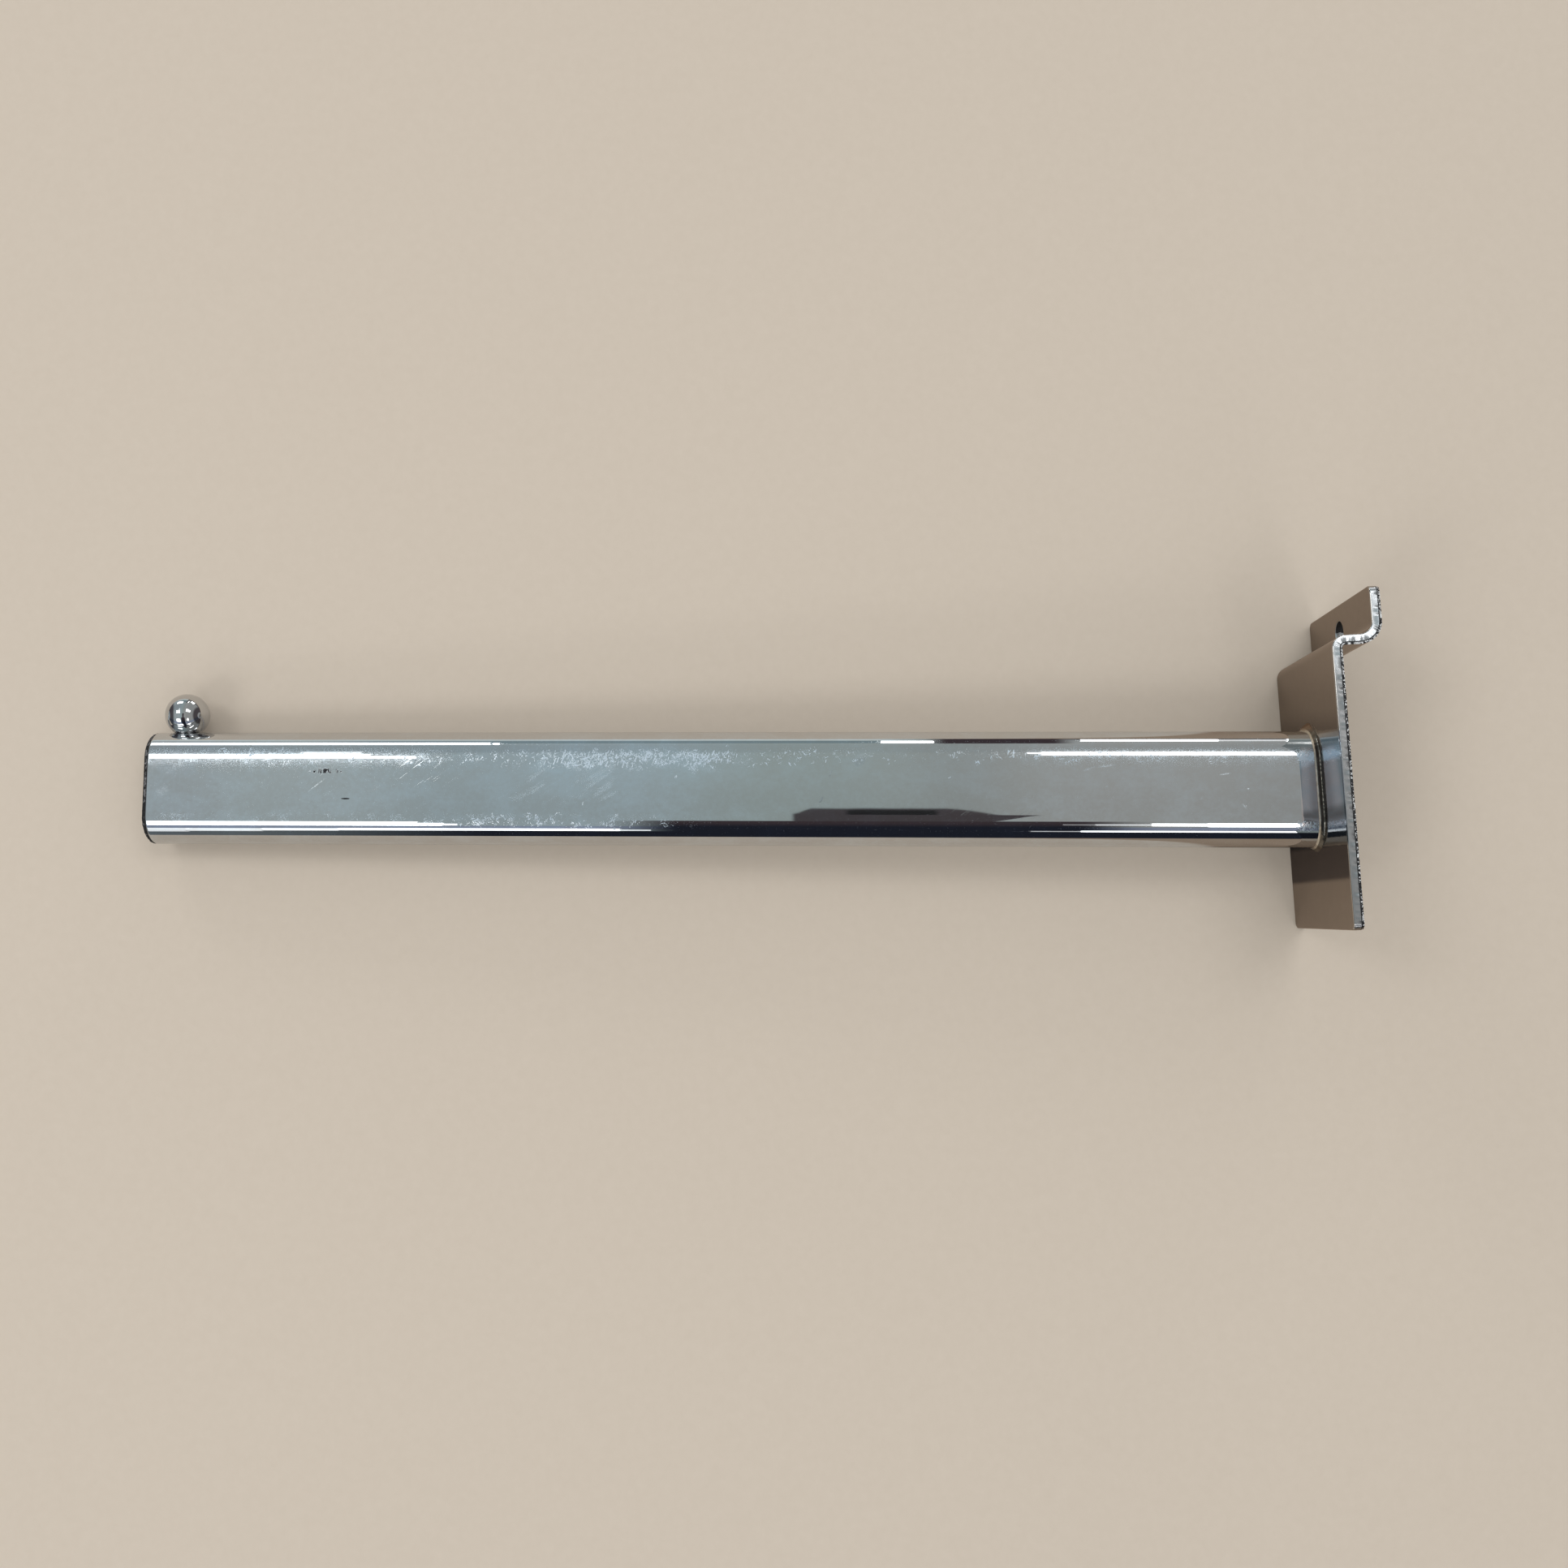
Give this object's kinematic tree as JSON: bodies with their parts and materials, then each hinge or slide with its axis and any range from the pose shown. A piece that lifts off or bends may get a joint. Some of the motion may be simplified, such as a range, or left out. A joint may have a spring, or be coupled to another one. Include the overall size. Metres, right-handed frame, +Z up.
{
  "type": "faceout arm",
  "caption": "Straight chrome display arm of flat oval tube with a ball stop, a plastic end cap and a welded hook plate for slotted wall panels.",
  "frame": {"origin": "on the plate's back face, at half its width, where the arm's axis meets it", "axes": "+X points into the wall, square to the plate's back face; +Z is up as hung; the arm runs towards -X and rises 3 degrees"},
  "size_m": [0.3187, 0.05, 0.0834],
  "materials": {
    "plate_chrome": "bright chrome plate, lightly worn",
    "tube_chrome": "bright chrome plate with scuffs and fine scratches",
    "weld_chrome": "chrome over a weld bead, slightly uneven",
    "ball_chrome": "bright chrome plate",
    "black_plastic": "black moulded plastic, scuffed at the rim"
  },
  "bodies": {
    "root": {"wall_plate": "plate_chrome", "arm_tube": "tube_chrome", "weld_bead": "weld_chrome", "ball_stop": "ball_chrome", "end_cap": "black_plastic"}
  },
  "joints": []
}
